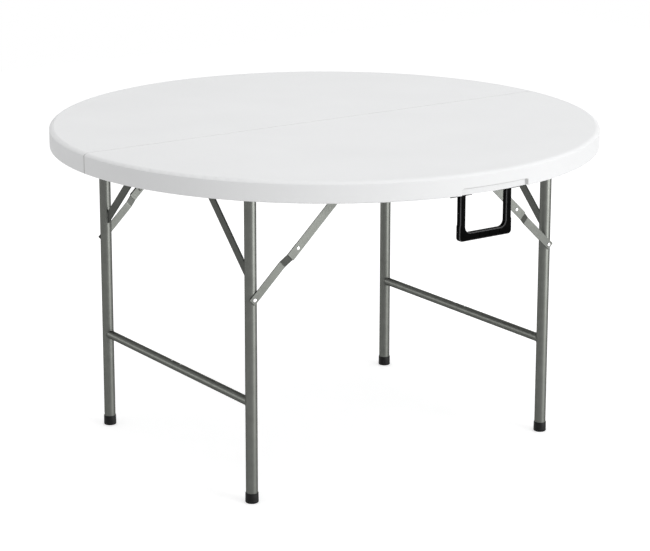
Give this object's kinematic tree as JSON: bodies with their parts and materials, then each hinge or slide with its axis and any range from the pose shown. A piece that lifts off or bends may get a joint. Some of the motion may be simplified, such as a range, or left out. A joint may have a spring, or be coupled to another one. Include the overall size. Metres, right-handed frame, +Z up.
{
  "type": "folding garden table",
  "caption": "Round folding garden table: hinged half tops of hollow plastic on folding tube leg frames with jointed braces and a carrying handle.",
  "frame": {"origin": "centre of the table on the floor it stands on", "axes": "+Z up, +X along the seam between the half tops, -Y towards the carrying handle"},
  "size_m": [1.22, 1.2198, 0.722],
  "materials": {
    "white_plastic": "fine grained blow moulding",
    "coated_steel": "grey-green powder coat",
    "grey_bracket": "grey powder coat",
    "rivet_steel": "bright zinc",
    "zinc_steel": "zinc plated",
    "black_rubber": "moulded rubber",
    "black_plastic": "satin moulding"
  },
  "bodies": {
    "tabletop": {"top_half_front": "white_plastic", "top_half_rear": "white_plastic", "seam_hinge_front_leaves": "zinc_steel", "seam_hinge_rear_leaves": "zinc_steel", "seam_hinge_pins": "zinc_steel", "hinge_screws": "zinc_steel", "bracket_screws": "zinc_steel", "hanger_rivets": "rivet_steel", "handle_mount_left": "grey_bracket", "handle_mount_right": "grey_bracket", "handle_axles": "rivet_steel", "brace_hangers_left": "grey_bracket", "brace_hangers_right": "grey_bracket", "pivot_clips_left": "grey_bracket", "pivot_clips_right": "grey_bracket"},
    "leg_frame_left": {"leg_left_front": "coated_steel", "leg_left_rear": "coated_steel", "foot_cap_left_front": "black_rubber", "foot_cap_left_rear": "black_rubber", "pivot_tube_left_front": "coated_steel", "pivot_tube_left_rear": "coated_steel", "crossbar_left_front": "coated_steel", "crossbar_left_rear": "coated_steel", "strut_left_front": "coated_steel", "strut_left_rear": "coated_steel", "crossbar_knuckle_left": "zinc_steel", "crossbar_pins_left": "rivet_steel", "leg_rivets_left": "rivet_steel"},
    "leg_frame_right": {"leg_right_front": "coated_steel", "leg_right_rear": "coated_steel", "foot_cap_right_front": "black_rubber", "foot_cap_right_rear": "black_rubber", "pivot_tube_right_front": "coated_steel", "pivot_tube_right_rear": "coated_steel", "crossbar_right_front": "coated_steel", "crossbar_right_rear": "coated_steel", "strut_right_front": "coated_steel", "strut_right_rear": "coated_steel", "crossbar_knuckle_right": "zinc_steel", "crossbar_pins_right": "rivet_steel", "leg_rivets_right": "rivet_steel"},
    "lower_link_left_front": {"lower_link_left_front": "coated_steel", "elbow_tail_left_front": "rivet_steel"},
    "upper_link_left_front": {"upper_link_left_front": "coated_steel", "elbow_rivet_left_front": "rivet_steel"},
    "lower_link_left_rear": {"lower_link_left_rear": "coated_steel", "elbow_tail_left_rear": "rivet_steel"},
    "upper_link_left_rear": {"upper_link_left_rear": "coated_steel", "elbow_rivet_left_rear": "rivet_steel"},
    "lower_link_right_front": {"lower_link_right_front": "coated_steel", "elbow_tail_right_front": "rivet_steel"},
    "upper_link_right_front": {"upper_link_right_front": "coated_steel", "elbow_rivet_right_front": "rivet_steel"},
    "lower_link_right_rear": {"lower_link_right_rear": "coated_steel", "elbow_tail_right_rear": "rivet_steel"},
    "upper_link_right_rear": {"upper_link_right_rear": "coated_steel", "elbow_rivet_right_rear": "rivet_steel"},
    "handle": {"handle": "black_plastic"}
  },
  "joints": [
    {"name": "frame_left_fold", "type": "hinge", "parent": "tabletop", "child": "leg_frame_left", "pos_m": [-0.394, 0, 0.684], "axis": [0, -1, 0], "range_deg": [0, 90]},
    {"name": "lower_link_left_front_turn", "type": "hinge", "parent": "leg_frame_left", "child": "lower_link_left_front", "pos_m": [-0.394, -0.3, 0.444], "axis": [0, -1, 0], "range_deg": [-144.16, 0]},
    {"name": "upper_link_left_front_turn", "type": "hinge", "parent": "tabletop", "child": "upper_link_left_front", "pos_m": [-0.1753, -0.3, 0.65081], "axis": [0, -1, 0], "range_deg": [0, 139.16]},
    {"name": "lower_link_left_rear_turn", "type": "hinge", "parent": "leg_frame_left", "child": "lower_link_left_rear", "pos_m": [-0.394, 0.3, 0.444], "axis": [0, -1, 0], "range_deg": [-144.16, 0]},
    {"name": "upper_link_left_rear_turn", "type": "hinge", "parent": "tabletop", "child": "upper_link_left_rear", "pos_m": [-0.1753, 0.3, 0.65081], "axis": [0, -1, 0], "range_deg": [0, 139.16]},
    {"name": "frame_right_fold", "type": "hinge", "parent": "tabletop", "child": "leg_frame_right", "pos_m": [0.394, 0, 0.655], "axis": [0, 1, 0], "range_deg": [0, 90]},
    {"name": "lower_link_right_front_turn", "type": "hinge", "parent": "leg_frame_right", "child": "lower_link_right_front", "pos_m": [0.394, -0.3, 0.444], "axis": [0, 1, 0], "range_deg": [-133.15, 0]},
    {"name": "upper_link_right_front_turn", "type": "hinge", "parent": "tabletop", "child": "upper_link_right_front", "pos_m": [0.1862, -0.3, 0.64051], "axis": [0, 1, 0], "range_deg": [0, 142.68]},
    {"name": "lower_link_right_rear_turn", "type": "hinge", "parent": "leg_frame_right", "child": "lower_link_right_rear", "pos_m": [0.394, 0.3, 0.444], "axis": [0, 1, 0], "range_deg": [-133.15, 0]},
    {"name": "upper_link_right_rear_turn", "type": "hinge", "parent": "tabletop", "child": "upper_link_right_rear", "pos_m": [0.1862, 0.3, 0.64051], "axis": [0, 1, 0], "range_deg": [0, 142.68]},
    {"name": "handle_swing", "type": "hinge", "parent": "tabletop", "child": "handle", "pos_m": [0, -0.568, 0.671], "axis": [1, 0, 0], "range_deg": [-90, 90]}
  ],
  "couplings": [
    {"joint": "lower_link_left_front_turn", "follows": "frame_left_fold", "ratio": -1.6012},
    {"joint": "upper_link_left_front_turn", "follows": "frame_left_fold", "ratio": 1.5457},
    {"joint": "lower_link_left_rear_turn", "follows": "frame_left_fold", "ratio": -1.6012},
    {"joint": "upper_link_left_rear_turn", "follows": "frame_left_fold", "ratio": 1.5457},
    {"joint": "lower_link_right_front_turn", "follows": "frame_right_fold", "ratio": -1.4789},
    {"joint": "upper_link_right_front_turn", "follows": "frame_right_fold", "ratio": 1.5848},
    {"joint": "lower_link_right_rear_turn", "follows": "frame_right_fold", "ratio": -1.4789},
    {"joint": "upper_link_right_rear_turn", "follows": "frame_right_fold", "ratio": 1.5848}
  ]
}
